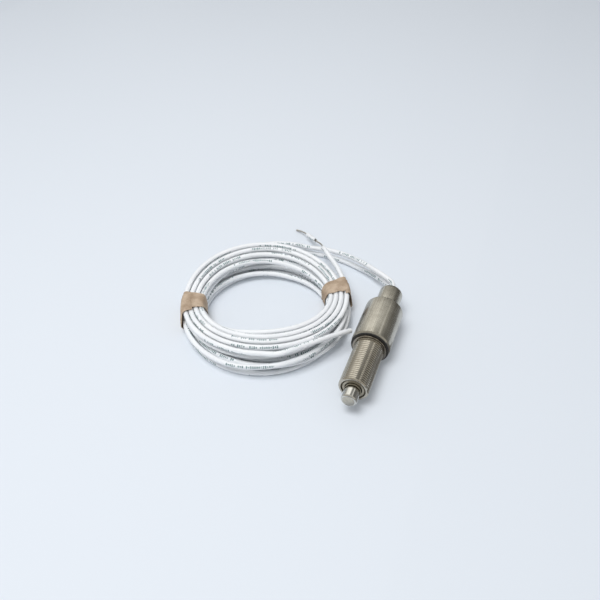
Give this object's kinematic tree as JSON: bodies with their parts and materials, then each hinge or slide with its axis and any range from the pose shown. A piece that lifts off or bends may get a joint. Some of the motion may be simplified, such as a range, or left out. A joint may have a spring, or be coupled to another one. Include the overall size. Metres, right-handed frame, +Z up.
{
  "type": "flame sensor probe",
  "caption": "Stepped metal flame sensor probe with a threaded sleeve, nested sensing tip, sealing washer, rear collar and white insulated leads wound in a taped coil.",
  "frame": {"origin": "below the middle of the probe's length, on the surface it lies on, at the bottom centre of the box round the body without its leads", "axes": "+Y along the probe's axis from the sensing tip to the rear collar, +Z up from the surface it lies on, +X to the right seen from behind the collar; the leads' coil lies towards -X"},
  "size_m": [0.1501, 0.1577, 0.0254],
  "materials": {
    "nickel": "satin nickel over brass, fine turning marks, dulled by handling",
    "tip_metal": "brighter turned and polished metal",
    "gasket": "dark moulded sealing washer",
    "window": null,
    "seal_rubber": "black elastomer",
    "glass": "clear envelope glass",
    "ceramic": "unglazed white ceramic",
    "tungsten": "grey electrode metal",
    "spring_steel": "drawn spring wire",
    "fibre": "tan fibre insulation",
    "fluoropolymer": "translucent white insulation",
    "tinned_copper": "tinned copper",
    "lead_jacket": "smooth white lead insulation with faint dark printed marks",
    "kraft_paper": "brown kraft paper tie"
  },
  "bodies": {
    "root": {"main_housing": "nickel", "threaded_sleeve": "nickel", "gasket_washer": "gasket", "lock_ring": "nickel", "sleeve_seal": "seal_rubber", "insulating_liner": "fluoropolymer", "guard_tube": "nickel", "sensing_tip": "tip_metal", "tip_window": "window", "window_seal": "seal_rubber", "tube_envelope": "glass", "tube_base": "ceramic", "tube_cathode": "tungsten", "tube_anode": "tungsten", "tube_spring": "spring_steel", "spring_seat": "fibre", "splice_liner": "fibre", "rear_collar": "nickel", "lead_grommet": "seal_rubber", "grommet_washer": "fibre", "hookup_wire_a": "fluoropolymer", "hookup_wire_b": "fluoropolymer", "splice_a": "tinned_copper", "splice_b": "tinned_copper", "lead_a_entry": "lead_jacket", "lead_b_entry": "lead_jacket", "lead_a_run": "lead_jacket", "lead_b_run": "lead_jacket", "lead_a_coil": "lead_jacket", "lead_b_coil": "lead_jacket", "lead_a_tail": "lead_jacket", "lead_b_tail": "lead_jacket", "lead_a_strands": "tinned_copper", "lead_a_slug": "lead_jacket", "tape_band_left": "kraft_paper", "tape_band_right": "kraft_paper"}
  },
  "joints": []
}
